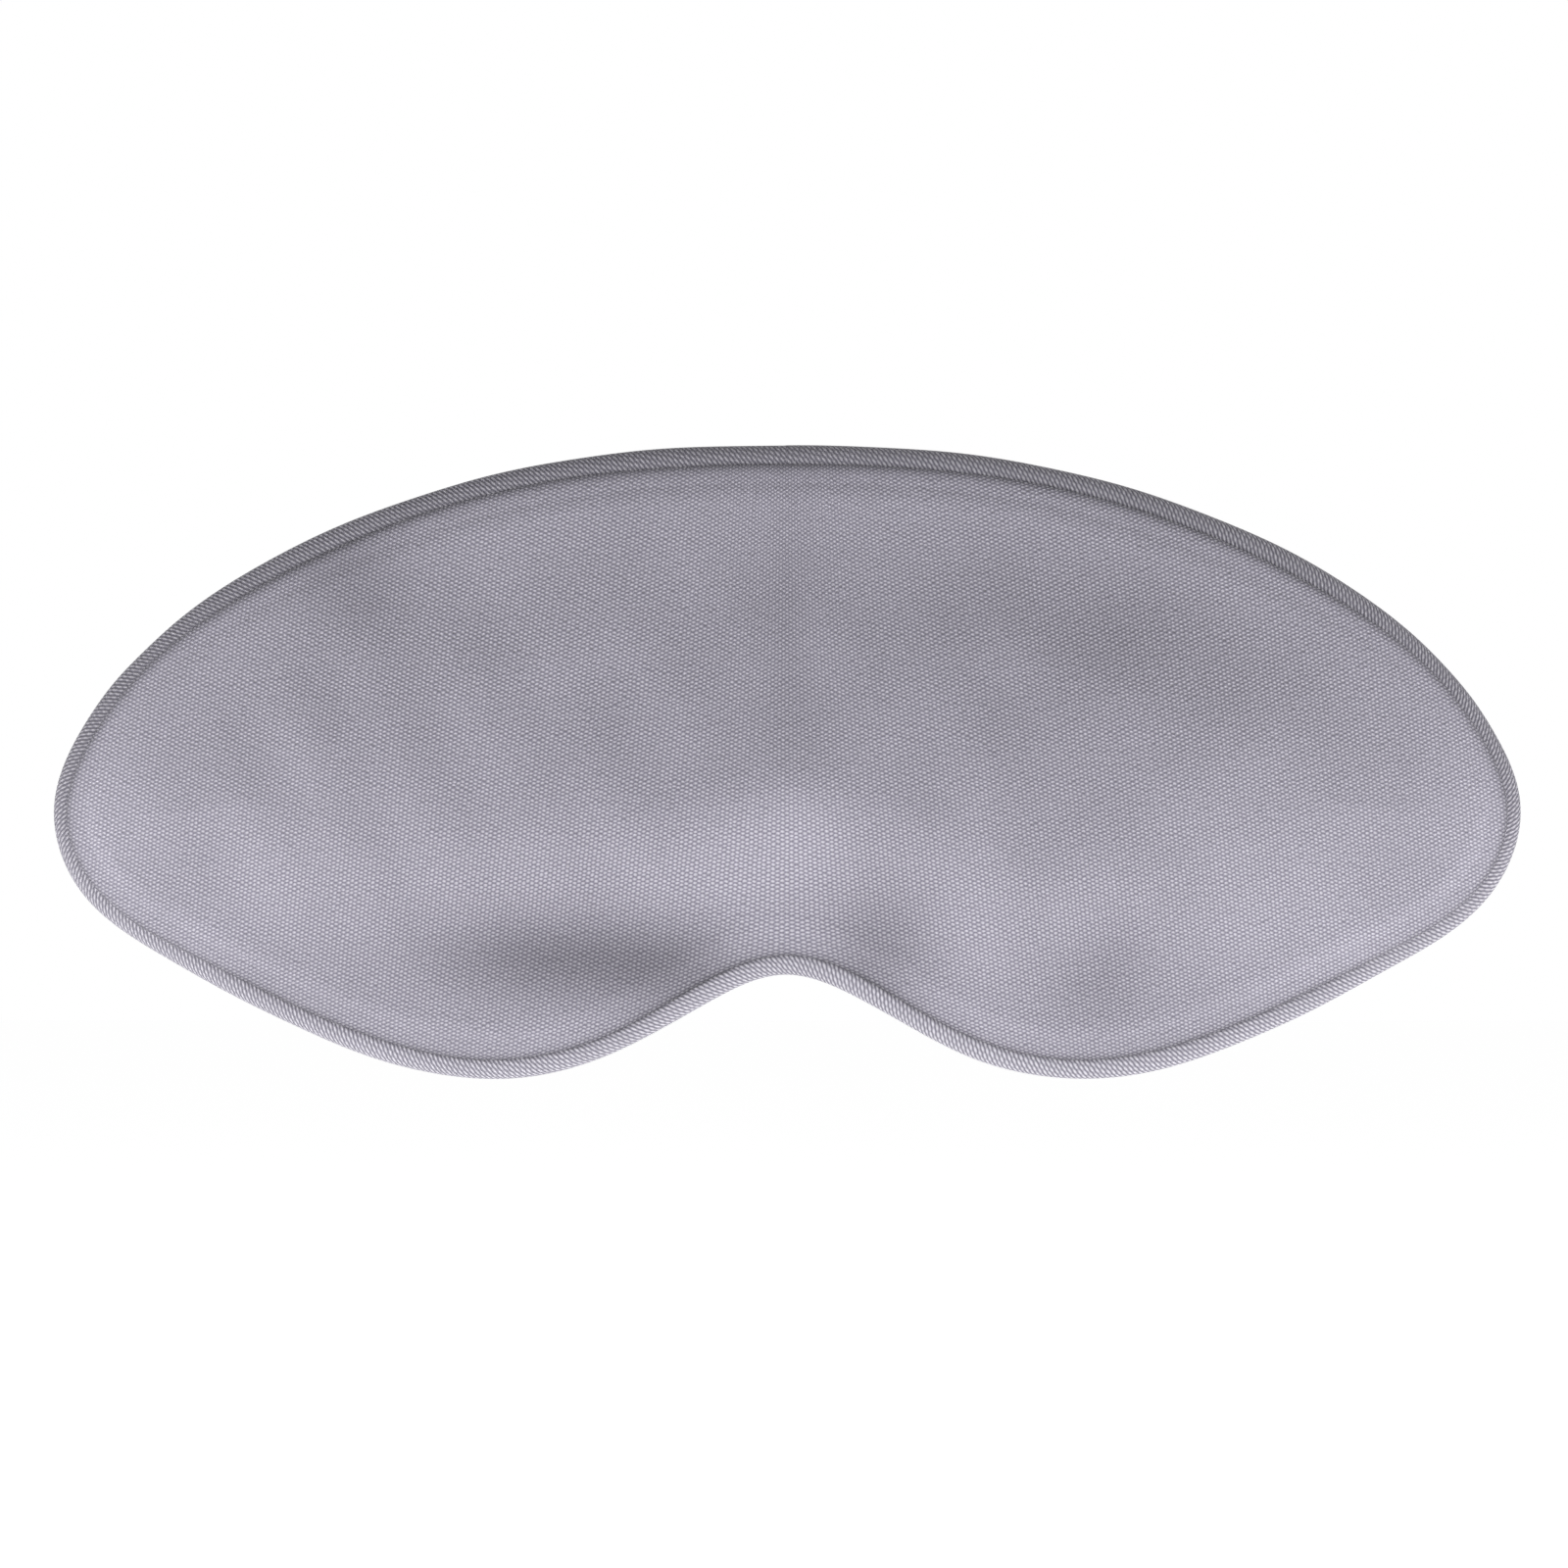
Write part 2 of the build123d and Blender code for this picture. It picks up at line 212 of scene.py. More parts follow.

# Painted light and shade on the shell, over its dents, swells and ends: X, Z, half-widths,
# and how much lighter or darker the knit is painted there
PAINTED_SHADING_SPOTS = [
    (-0.072, 0.038, 0.010, 0.009, -0.20),
    (-0.046, 0.031, 0.026, 0.014, 0.10),
    (-0.036, -0.0248, 0.019, 0.0066, -0.33),
    (-0.018, -0.0262, 0.010, 0.0070, -0.22),
    (-0.018, -0.014, 0.012, 0.007, 0.08),
    (0, -0.020, 0.090, 0.014, -0.06),
    (0, -0.011, 0.012, 0.012, 0.12),
    (0.014, -0.024, 0.007, 0.010, -0.20),
    (0.031, -0.020, 0.008, 0.015, 0.12),
    (0.050, -0.030, 0.008, 0.007, -0.07),
    (0.060, 0.022, 0.040, 0.018, -0.05),
    (0.092, -0.022, 0.022, 0.010, 0.16),
    (-0.096, -0.020, 0.018, 0.009, 0.10),
    (-0.112, -0.004, 0.008, 0.016, 0.16),
    (0.112, -0.004, 0.008, 0.016, 0.12),
    (0, 0.038, 0.003, 0.016, -0.06),
]

# The crease, painted shade: how dark it is on the shell and on the binding, and where the dark ends
CREASE_SHADE = 0.58
CREASE_START = 0.0012
CREASE_WIDTH = 0.0009
BINDING_CREASE_SHADE = 0.70
BINDING_CREASE_START = 0.12
BINDING_CREASE_RUN = 0.26

# Studio: each light's name, place, size and power, the floor, and the camera
LIGHTS = [
    ("front", (0, -1.4, 0.55), (0.9, 0.6), 9),
    ("low", (0, -0.7, -0.9), (1.4, 0.4), 5),
    ("side_left", (-1.1, -0.25, -0.10), (0.5, 0.7), 9.5),
    ("side_right", (1.1, -0.25, -0.10), (0.5, 0.7), 9.5),
    ("behind", (0, 1.2, 0.5), (1.2, 0.8), 12),
]
FLOOR_SIZE = 6
FLOOR_PLACE = 2.6
FLOOR_DROP = 0.075
FLOOR_SHADE = 0.9
SURROUND_LIGHT = 0.10
VIEW_WIDTH = 0.2550
VIEW_MIDDLE = (-0.0005, 0.004, 0.0040)
LENS = 360
SENSOR_WIDTH = 36

UP = np.array([0.0, 0.0, 1.0])


# ---------------------------------------------------------------- curves and grids


def closed_spline(points, count):
    """Evenly spaced points on the smooth closed curve through points, with its length."""
    knots = np.array(points, float)
    gaps = np.linalg.norm(np.roll(knots, -1, 0) - knots, axis=1)
    n = len(knots)
    system = np.zeros((n, n))
    slopes = (np.roll(knots, -1, 0) - knots) / gaps[:, None]
    for i in range(n):
        system[i, i - 1] = gaps[i - 1]
        system[i, i] = 2 * (gaps[i - 1] + gaps[i])
        system[i, (i + 1) % n] = gaps[i]
    bends = np.linalg.solve(system, 6 * (slopes - np.roll(slopes, 1, 0)))
    fine = []
    steps = np.linspace(0, 1, 200, endpoint=False)[:, None]
    for i in range(n):
        j = (i + 1) % n
        cubic_i = ((1 - steps) ** 3 - (1 - steps)) * gaps[i] ** 2 / 6
        cubic_j = (steps**3 - steps) * gaps[i] ** 2 / 6
        line = (1 - steps) * knots[i] + steps * knots[j]
        fine.append(line + cubic_i * bends[i] + cubic_j * bends[j])
    fine = np.vstack(fine)
    return resample(np.vstack([fine, fine[:1]]), count + 1)[:-1]


def resample(points, count):
    """The polyline's points, spread evenly along it."""
    lengths = np.linalg.norm(np.diff(points, axis=0), axis=1)
    along = np.concatenate([[0], np.cumsum(lengths)])
    even = np.linspace(0, along[-1], count)
    return np.stack([np.interp(even, along, axis) for axis in points.T], axis=1)


def outline(inset=0.0):
    """The pad's outline in X and Z, clockwise from the top middle as seen from the front."""
    other_half = [(-x, z) for x, z in HALF_OUTLINE[-2:0:-1]]
    points = closed_spline(HALF_OUTLINE + other_half, OUTLINE_STEPS)
    forward = np.roll(points, -1, 0) - np.roll(points, 1, 0)
    forward /= np.linalg.norm(forward, axis=1)[:, None]
    inwards = np.stack([forward[:, 1], -forward[:, 0]], axis=1)
    return points + inwards * np.reshape(inset, (-1, 1))


def shell_edge(extra=0.0):
    """The outline where the shell dives behind the binding, further out at the two ends."""
    ends = np.clip((np.abs(outline()[:, 0]) - END_SPREAD_START) / END_SPREAD_RUN, 0, 1)
    return outline(SHELL_INSET + extra - SHELL_END_SPREAD * ends * ends * (3 - 2 * ends))


def back_depth(x):
    """How far back the lining lies at x."""
    return WRAP_DEPTH * (x / HALF_LENGTH) ** 2


def bump(x, z, place, size, height):
    """A soft round hill, or a hollow where height is negative."""
    return height * np.exp(-(((x - place[0]) / size[0]) ** 2) - ((z - place[1]) / size[1]) ** 2)


def grid_piece(name, points, uv, wrap_rows=False, wrap_columns=False):
    """A mesh over a grid of points. uv has one more row or column where the grid wraps."""
    rows, columns = points.shape[:2]
    index = np.arange(rows * columns).reshape(rows, columns)
    if wrap_rows:
        index = np.vstack([index, index[:1]])
    if wrap_columns:
        index = np.hstack([index, index[:, :1]])
    corners = [(0, 0), (1, 0), (1, 1), (0, 1)]

    def corner_values(values):
        height, width = values.shape[0] - 1, values.shape[1] - 1
        return [values[i:i + height, j:j + width] for i, j in corners]

    faces = np.stack(corner_values(index), axis=-1).reshape(-1, 4)
    mesh = bpy.data.meshes.new(name)
    mesh.from_pydata(points.reshape(-1, 3).tolist(), [], faces.tolist())
    layer = mesh.uv_layers.new(name="fabric")
    loops = np.stack(corner_values(uv), axis=-2).reshape(-1, 2)
    layer.data.foreach_set("uv", loops.astype(np.float32).ravel())
    mesh.polygons.foreach_set("use_smooth", [True] * len(mesh.polygons))
    mesh.update()
    piece = bpy.data.objects.new(name, mesh)
    bpy.context.scene.collection.objects.link(piece)
    return piece


def set_painted_shading(piece, tone):
    """Stores the painted light and shade of the cloth at each vertex."""
    layer = piece.data.attributes.new("tone", "FLOAT", "POINT")
    layer.data.foreach_set("value", tone.astype(np.float32).ravel())


def dress(piece, material, body, nodes):
    """Gives a piece its material and slot, and lets it ride for the CAD nodes it replaces."""
    piece.data.materials.clear()
    piece.data.materials.append(material)
    if body:
        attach(piece, body)
    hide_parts(*nodes)
    return piece


# ---------------------------------------------------------------- materials


class Nodes:
    """Short calls for building a shader."""

    def __init__(self, name):
        self.material = bpy.data.materials.new(name)
        self.material.use_nodes = True
        self.tree = self.material.node_tree
        self.shader = self.tree.nodes["Principled BSDF"]

    def link(self, value, socket):
        if isinstance(value, bpy.types.NodeSocket):
            self.tree.links.new(value, socket)
        else:
            socket.default_value = value

    def maths(self, operation, first, second=0.0):
        node = self.tree.nodes.new("ShaderNodeMath")
        node.operation = operation
        self.link(first, node.inputs[0])
        self.link(second, node.inputs[1])
        return node.outputs[0]

    def noise(self, scale, detail=2.0, vector=None):
        node = self.tree.nodes.new("ShaderNodeTexNoise")
        node.inputs["Scale"].default_value = scale
        node.inputs["Detail"].default_value = detail
        if vector is None:
            vector = self.tree.nodes.new("ShaderNodeTexCoord").outputs["Object"]
        self.tree.links.new(vector, node.inputs["Vector"])
        return node.outputs["Fac"]

    def fabric_coordinates(self):
        uv = self.tree.nodes.new("ShaderNodeUVMap")
        uv.uv_map = "fabric"
        parts = self.tree.nodes.new("ShaderNodeSeparateXYZ")
        self.tree.links.new(uv.outputs[0], parts.inputs[0])
        return parts.outputs[0], parts.outputs[1]

    def ramp(self, value, stops):
        node = self.tree.nodes.new("ShaderNodeValToRGB")
        elements = node.color_ramp.elements
        while len(elements) < len(stops):
            elements.new(0.5)
        for element, (position, colour) in zip(elements, stops):
            element.position = position
            element.color = (*colour, 1)
        self.tree.links.new(value, node.inputs[0])
        return node.outputs[0]

    def shade(self, colour, low, high, fac):
        """The colour, made between low and high times as bright as fac goes from 0 to 1."""
        brightness = self.maths("MULTIPLY_ADD", fac, high - low)
        brightness.node.inputs[2].default_value = low
        node = self.tree.nodes.new("ShaderNodeVectorMath")
        node.operation = "SCALE"
        self.tree.links.new(colour, node.inputs[0])
        self.tree.links.new(brightness, node.inputs["Scale"])
        return node.outputs[0]

    def tone(self, colour):
        """The colour, scaled by the painted light and shade stored on the mesh."""
        layer = self.tree.nodes.new("ShaderNodeAttribute")
        layer.attribute_name = "tone"
        return self.shade(colour, 0, 1, layer.outputs["Fac"])

    def bump(self, height, distance, strength=1.0):
        node = self.tree.nodes.new("ShaderNodeBump")
        node.inputs["Strength"].default_value = strength
        node.inputs["Distance"].default_value = distance
        self.tree.links.new(height, node.inputs["Height"])
        self.tree.links.new(node.outputs[0], self.shader.inputs["Normal"])

    def finish(self, colour, roughness, sheen=0.0, sheen_roughness=0.5, specular=0.3):
        self.link(colour, self.shader.inputs["Base Color"])
        self.shader.inputs["Roughness"].default_value = roughness
        self.shader.inputs["Sheen Weight"].default_value = sheen
        self.shader.inputs["Sheen Roughness"].default_value = sheen_roughness
        self.shader.inputs["Specular IOR Level"].default_value = specular
        return self.material


def knit_height(nodes, rib, pebble, turn, irregular, rib_share):
    """Ribs of pebbles, staggered from rib to rib, with a little unevenness."""
    u, v = nodes.fabric_coordinates()
    if turn:
        across = nodes.maths("MULTIPLY", u, cos(turn))
        along = nodes.maths("MULTIPLY", v, cos(turn))
        u_turned = nodes.maths("ADD", across, nodes.maths("MULTIPLY", v, sin(turn)))
        v = nodes.maths("SUBTRACT", along, nodes.maths("MULTIPLY", u, sin(turn)))
        u = u_turned
    wobble = nodes.maths("SUBTRACT", nodes.noise(scale=420.0, detail=3.0), 0.5)
    u = nodes.maths("ADD", u, nodes.maths("MULTIPLY", wobble, rib * irregular))
    drift = nodes.maths("SUBTRACT", nodes.noise(scale=900.0, detail=2.0), 0.5)
    v = nodes.maths("ADD", v, nodes.maths("MULTIPLY", drift, pebble * 2 * irregular))
    half_rib = nodes.maths("MULTIPLY", u, pi / rib)
    ribs = nodes.maths("COSINE", nodes.maths("MULTIPLY", half_rib, 2.0))
    pebbles = nodes.maths("COSINE", nodes.maths("MULTIPLY", v, 2 * pi / pebble))
    pebbles = nodes.maths("MULTIPLY", nodes.maths("COSINE", half_rib), pebbles)
    ribs = nodes.maths("MULTIPLY", ribs, 0.5 * rib_share)
    pebbles = nodes.maths("MULTIPLY", pebbles, 0.5 * (1 - rib_share))
    return nodes.maths("ADD", nodes.maths("ADD", ribs, pebbles), 0.5)


def knit_material(name, dark, light, rib=RIB_PITCH, pebble=PEBBLE_PITCH, turn=0.0,
                  rib_share=0.28, relief=0.0003, mottle=0.08, sheen=0.25, irregular=0.40,
                  with_painted_shading=False):
    """Pebbled knit: dark gaps between light pebbles, mottled, with a soft bloom."""
    nodes = Nodes(name)
    height = knit_height(nodes, rib, pebble, turn, irregular, rib_share)
    colour = nodes.ramp(height, [(0.15, dark), (0.78, light)])
    colour = nodes.shade(colour, 1 - mottle, 1 + mottle, nodes.noise(scale=45.0, detail=4.0))
    # Painted light and shade from the mesh, where the piece has it
    if with_painted_shading:
        colour = nodes.tone(colour)
    nodes.bump(height, relief)
    return nodes.finish(colour, roughness=0.95, sheen=sheen, sheen_roughness=0.45, specular=0.15)


def elastic_material(name, dark, light):
    """Woven elastic: raised cords along the band, crossed by fine picks."""
    nodes = Nodes(name)
    u, v = nodes.fabric_coordinates()
    cords = nodes.maths("COSINE", nodes.maths("MULTIPLY", v, 2 * pi / CORD_PITCH))
    cords = nodes.maths("ABSOLUTE", cords)
    stagger = nodes.maths("MULTIPLY", v, pi / CORD_PITCH)
    picks = nodes.maths("COSINE", nodes.maths("MULTIPLY", u, 2 * pi / PICK_PITCH))
    picks = nodes.maths("MULTIPLY", picks, nodes.maths("COSINE", stagger))
    cords = nodes.maths("MULTIPLY", cords, 0.55)
    picks = nodes.maths("MULTIPLY", picks, 0.22)
    height = nodes.maths("ADD", nodes.maths("ADD", cords, picks), 0.2)
    colour = nodes.ramp(height, [(0.05, dark), (0.75, light)])
    colour = nodes.shade(colour, 0.94, 1.06, nodes.noise(scale=60.0, detail=3.0))
    nodes.bump(height, distance=0.00022)
    return nodes.finish(colour, roughness=0.7, sheen=0.15, sheen_roughness=0.4, specular=0.3)


def felt_material(name, dark, light):
    """Felt or foam: a fine tangle with no weave."""
    nodes = Nodes(name)
    tangle = nodes.noise(scale=1400.0, detail=6.0)
    colour = nodes.ramp(tangle, [(0.3, dark), (0.7, light)])
    colour = nodes.shade(colour, 0.93, 1.07, nodes.noise(scale=70.0, detail=2.0))
    nodes.bump(tangle, distance=0.00015)
    return nodes.finish(colour, roughness=0.95, sheen=0.2, sheen_roughness=0.5, specular=0.1)


def thread_material(name, dark, light):
    """Twisted sewing thread."""
    nodes = Nodes(name)
    u, v = nodes.fabric_coordinates()
    twist = nodes.maths("ADD", nodes.maths("MULTIPLY", u, 2 * pi / PLY_PITCH), v)
    ply = nodes.maths("ADD", nodes.maths("MULTIPLY", nodes.maths("COSINE", twist), 0.5), 0.5)
    colour = nodes.ramp(ply, [(0.1, dark), (0.9, light)])
    nodes.bump(ply, distance=0.00006)
    return nodes.finish(colour, roughness=0.6, sheen=0.1, sheen_roughness=0.4, specular=0.3)


def moulded_material(name, colour):
    """Moulded nylon: smooth, with a faint orange-peel and uneven gloss."""
    nodes = Nodes(name)
    grain = nodes.noise(scale=900.0, detail=3.0)
    darker = tuple(0.86 * channel for channel in colour)
    shade = nodes.ramp(nodes.noise(scale=120.0, detail=3.0), [(0.3, darker), (0.7, colour)])
    nodes.bump(grain, distance=0.00004, strength=0.6)
    material = nodes.finish(shade, roughness=0.4, specular=0.5)
    rough = nodes.maths("MULTIPLY_ADD", nodes.noise(scale=300.0, detail=4.0), 0.22)
    rough.node.inputs[2].default_value = 0.30
    nodes.link(rough, nodes.shader.inputs["Roughness"])
    return material


shell_knit = knit_material("shell_knit", (0.140, 0.130, 0.180), (0.600, 0.578, 0.650),
                           with_painted_shading=True)
binding_knit = knit_material("binding_knit", (0.105, 0.098, 0.135), (0.600, 0.580, 0.640),
                             rib=0.00060, pebble=0.00135, turn=radians(35), rib_share=0.50,
                             relief=0.0004,
                             mottle=0.06, irregular=0.25, with_painted_shading=True)
lining_jersey = knit_material("lining_jersey", (0.200, 0.190, 0.232), (0.330, 0.317, 0.370),
                              rib=0.0009, pebble=0.0006, relief=0.00012, sheen=0.45)
cushion_jersey = knit_material("cushion_jersey", (0.215, 0.205, 0.250), (0.350, 0.336, 0.392),
                               rib=0.0009, pebble=0.0006, relief=0.00012, sheen=0.45)
patch_felt = felt_material("patch_felt", (0.20, 0.19, 0.23), (0.30, 0.29, 0.345))
core_foam = felt_material("core_foam", (0.66, 0.65, 0.62), (0.80, 0.79, 0.76))
blackout_film = felt_material("blackout_film", (0.015, 0.015, 0.018), (0.035, 0.034, 0.040))
elastic = elastic_material("elastic", (0.150, 0.143, 0.180), (0.330, 0.318, 0.380))
thread = thread_material("thread", (0.26, 0.25, 0.30), (0.46, 0.445, 0.52))
moulded_plastic = moulded_material("moulded_plastic", (0.250, 0.240, 0.285))


# ---------------------------------------------------------------- pad


def edge_gap(x, z, edge):
    """How far each point lies from the outline edge, and the way out there."""
    tree = kdtree.KDTree(len(edge))
    for i, (edge_x, edge_z) in enumerate(edge):
        tree.insert((edge_x, 0, edge_z), i)
    tree.balance()
    places = np.stack([x.ravel(), z.ravel()], axis=1)
    nearest = np.array([tree.find((px, 0, pz))[1] for px, pz in places])
    forward = np.roll(edge, -1, 0) - np.roll(edge, 1, 0)
    step = np.linalg.norm(forward, axis=1)[:, None] / 2
    forward /= 2 * step
    offset = places - edge[nearest]
    past = np.sum(offset * forward[nearest], axis=1)[:, None]
    gap = np.linalg.norm(offset - past * forward[nearest], axis=1)
    share = np.clip(past / step[nearest], -0.5, 0.5)
    beside = (nearest + np.where(share[:, 0] > 0, 1, -1)) % len(edge)
    heading = (1 - np.abs(share)) * forward[nearest] + np.abs(share) * forward[beside]
    heading /= np.linalg.norm(heading, axis=1)[:, None]
    outwards = np.stack([-heading[:, 1], heading[:, 0]], axis=1)
    return gap.reshape(x.shape), outwards.reshape(*x.shape, 2)


def pad_grid(edge, columns, rows):
    """A grid that fills the outline edge: X, Z, the gap to that edge and the way out to it."""
    half = len(edge) // 2
    right = edge[:half + 1]
    end = right[:, 0].argmax()
    upper = right[:end + 1]
    lower = right[end:][::-1]
    turn = np.linspace(-pi / 2, pi / 2, columns)
    x = right[end, 0] * np.sin(turn)
    across = np.abs(x)
    high = np.interp(across, upper[:, 0], upper[:, 1])
    low = np.interp(across, lower[:, 0], lower[:, 1])
    share = 0.5 - 0.5 * np.cos(np.linspace(0, pi, rows))[:, None]
    z = low + (high - low) * share
    x = np.broadcast_to(x, z.shape).copy()
    return x, z, *edge_gap(x, z, edge)


def front_relief(x, z):
    """Broad domes over the eyes, and the soft dents and swells of the stuffed pad."""
    relief = 0
    for side in (-1, 1):
        size = (DOME_HALF_WIDTH, DOME_HALF_HEIGHT)
        relief = relief + bump(x, z, (side * DOME_X, DOME_Z), size, DOME_DEPTH)
    for spot_x, spot_z, half_x, half_z, height in RELIEF_SPOTS:
        relief += bump(x, z, (spot_x, spot_z), (half_x, half_z), height)
    relief += BROAD_WAVE * np.sin(x * 190 + 1.3) * np.sin(z * 230 + 0.4)
    relief += FINE_WAVE * np.sin(x * 410 + z * 170)
    return relief


def rim(gap, width, height):
    """A quarter-round rise from the edge to height, over width."""
    share = np.clip(gap / width, 0, 1)
    return height * np.sqrt(1 - (1 - share) ** 2)


def overhang(gap, most):
    """How far the puffed rim leans out over the binding, at most."""
    return most * np.sin(pi * np.clip(gap / RIM_OVERHANG_REACH, 0, 1))


def fabric_uv(x, z, gap, outwards, most=0.0):
    """Lengths along the cloth from the middle. The ribs lean out from the centre downwards,
    and the cloth that climbs the rim, and leans out over it by most, counts along its slope."""
    across = np.linspace(-HALF_LENGTH, HALF_LENGTH, 241)
    steps = np.hypot(np.diff(across), np.diff(back_depth(across)))
    lengths = np.concatenate([[0], np.cumsum(steps)])
    u = np.interp(x, across, lengths - lengths[-1] / 2)
    reach = np.linspace(0, RIM_WIDTH, 201)
    inwards = reach - overhang(reach, most)
    slopes = np.hypot(np.diff(inwards), np.diff(rim(reach, RIM_WIDTH, RIM_HEIGHT)))
    extra = np.concatenate([np.cumsum((slopes - np.diff(reach))[::-1])[::-1], [0]])
    climb = np.interp(gap, reach, extra)
    u = u + climb * outwards[:, :, 0]
    v = z + climb * outwards[:, :, 1]
    return np.stack([u + GRAIN_LEAN * np.tanh(x / GRAIN_SPREAD) * v, v], axis=-1)


def shell_height(x, z, gap, rise):
    """How far the shell stands in front of the edge's middle."""
    fade = np.clip(gap / RELIEF_FADE, 0, 1)
    relief = front_relief(x, z) * fade * fade * (3 - 2 * fade)
    return rim(gap, RIM_WIDTH, rise) - SHELL_TUCK + relief


def outer_shell():
    """The pebbled knit over the whole front, puffed up from the crease at the binding."""
    x, z, gap, outwards = pad_grid(shell_edge(), *SHELL_GRID)
    y = back_depth(x) - EDGE_THICKNESS / 2 - shell_height(x, z, gap, RIM_HEIGHT)
    uv = fabric_uv(x, z, gap, outwards, RIM_OVERHANG)
    lean = overhang(gap, RIM_OVERHANG)
    x = x + lean * outwards[:, :, 0]
    z = z + lean * outwards[:, :, 1]
    points = np.stack([x, y, z], axis=-1)
    piece = grid_piece("outer_shell_cloth", points, uv)
    # Painted shade along the crease where the shell dives behind the binding
    past = np.clip(gap - CREASE_START, 0, None)
    tone = 1 - CREASE_SHADE * np.exp(-((past / CREASE_WIDTH) ** 2))
    # Painted light and shade: spots lighter or darker over the front and at the ends
    for spot_x, spot_z, half_x, half_z, strength in PAINTED_SHADING_SPOTS:
        tone += bump(x, z, (spot_x, spot_z), (half_x, half_z), strength)
    set_painted_shading(piece, tone)
    return dress(piece, shell_knit, "pad", ["outer_shell"])


def blackout_layer():
    """The dark film behind the shell, following it a little way back."""
    edge = shell_edge(BLACKOUT_EDGE)
    x, z, gap, outwards = pad_grid(edge, *INNER_GRID)
    height = shell_height(x, z, gap, INNER_RIM_HEIGHT) - BLACKOUT_SETBACK
    height = np.maximum(height, rim(gap, RIM_WIDTH, BLACKOUT_RISE))
    y = back_depth(x) - EDGE_THICKNESS / 2 - height
    points = np.stack([x, y, z], axis=-1)
    piece = grid_piece("blackout_cloth", points, fabric_uv(x, z, gap, outwards))
    return dress(piece, blackout_film, "pad", ["blackout_layer"])


def foam_core():
    """The moulded foam pad: a closed pillow inside the shell and the lining."""
    x, z, gap, _ = pad_grid(shell_edge(FOAM_EDGE), *INNER_GRID)
    back = rim(gap, RIM_WIDTH, FOAM_BACK_RISE)
    front = np.maximum(shell_height(x, z, gap, INNER_RIM_HEIGHT) - FOAM_SETBACK, back)
    middle = back_depth(x) - EDGE_THICKNESS / 2
    front_points = np.stack([x, middle - front, z], axis=-1)
    back_points = np.stack([x, middle + back, z], axis=-1)[:, ::-1][:, 1:-1]
    points = np.concatenate([front_points, back_points], axis=1)
    closed = np.concatenate([points, points[:, :1]], axis=1)
    uv = np.stack([closed[:, :, 0], closed[:, :, 2]], axis=-1)
    piece = grid_piece("foam_core_pad", points, uv, wrap_columns=True)
    return dress(piece, core_foam, "pad", ["foam_core"])


def inner_lining():
    """The brushed jersey against the face, with a soft roll down to the binding."""
    edge = shell_edge(LINING_EDGE)
    x, z, gap, outwards = pad_grid(edge, *LINING_GRID)
    height = rim(gap, LINING_RIM_WIDTH, LINING_RIM_HEIGHT)
    fade = np.clip(gap / LINING_WAVE_FADE, 0, 1)
    height += LINING_WAVE * np.sin(x * 260) * np.sin(z * 310 + 0.7) * fade
    y = back_depth(x) - EDGE_THICKNESS / 2 + height
    points = np.stack([x, y, z], axis=-1)[:, ::-1]
    uv = fabric_uv(x, z, gap, outwards)[:, ::-1]
    piece = grid_piece("inner_lining_cloth", points, uv)
    return dress(piece, lining_jersey, "pad", ["inner_lining"])


def edge_binding():
    """The rolled bias tape, a little uneven, with a swelling at each lap."""
    path = outline(BINDING_RADIUS)
    centre = np.stack([path[:, 0], back_depth(path[:, 0]) - EDGE_THICKNESS / 2, path[:, 1]], axis=1)
    forward = np.roll(centre, -1, 0) - np.roll(centre, 1, 0)
    forward /= np.linalg.norm(forward, axis=1)[:, None]
    outward = np.cross(forward, [0.0, 1.0, 0.0])
    outward /= np.linalg.norm(outward, axis=1)[:, None]
    facing = np.cross(outward, forward)
    steps = np.linalg.norm(np.roll(centre, -1, 0) - centre, axis=1)
    along = np.concatenate([[0], np.cumsum(steps)])
    place = along[:-1]
    radius = np.ones(len(place))
    for share, rate, start in BINDING_WAVES:
        radius += share * np.sin(place * rate + start)
    for lap_x in LAP_PLACES:
        lap = centre[:, 0] - lap_x
        radius += LAP_SWELL * np.exp(-((lap / LAP_LENGTH) ** 2)) * (centre[:, 2] > 0)
    radius *= BINDING_RADIUS
    turns = np.linspace(0, 2 * pi, BINDING_AROUND, endpoint=False)
    rows = []
    for turn in turns:
        offset = outward * cos(turn) + facing * sin(turn)
        rows.append(centre + offset * radius[:, None])
    points = np.stack(rows, axis=1)
    u = np.broadcast_to(along[:, None], (len(along), BINDING_AROUND + 1))
    v = np.broadcast_to(np.linspace(0, 2 * pi, BINDING_AROUND + 1) * BINDING_RADIUS, u.shape)
    uv = np.stack([u, v], axis=-1)
    piece = grid_piece("edge_binding_tape", points, uv, wrap_rows=True, wrap_columns=True)
    # Painted shade on the binding's top and painted light on its bottom
    tone = 1.0 - BINDING_PAINTED_SHADE_SWING * np.tanh(points[:, :, 2] / BINDING_PAINTED_SHADE_RUN)
    # Painted shade on the binding's inner side, in the crease
    inwards = (-np.cos(turns) - BINDING_CREASE_START) / BINDING_CREASE_RUN
    tone *= 1 - BINDING_CREASE_SHADE * np.clip(inwards, 0, 1)
    set_painted_shading(piece, tone)
    return dress(piece, binding_knit, "pad", ["edge_binding"])


# ---------------------------------------------------------------- face-side padding


def ring_piece(name, centres, outward, normal, section, closed):
    """A soft bar along centres, with a section of (outward, normal) offsets."""
    points = centres[:, None] + outward[:, None] * section[:, :, :1] + normal * section[:, :, 1:]
    around = section.shape[1]
    steps = np.linalg.norm(np.diff(centres, axis=0), axis=1)
    along = np.concatenate([[0], np.cumsum(steps)])
    if closed:
        along = np.append(along, along[-1] + np.linalg.norm(centres[0] - centres[-1]))
    u = np.broadcast_to(along[:, None], (len(along), around + 1))
    girth = np.linspace(0, 2 * pi, around + 1) * CUSHION_RADIUS
    v = np.broadcast_to(girth, u.shape)
    return grid_piece(name, points, np.stack([u, v], axis=-1), closed, True)


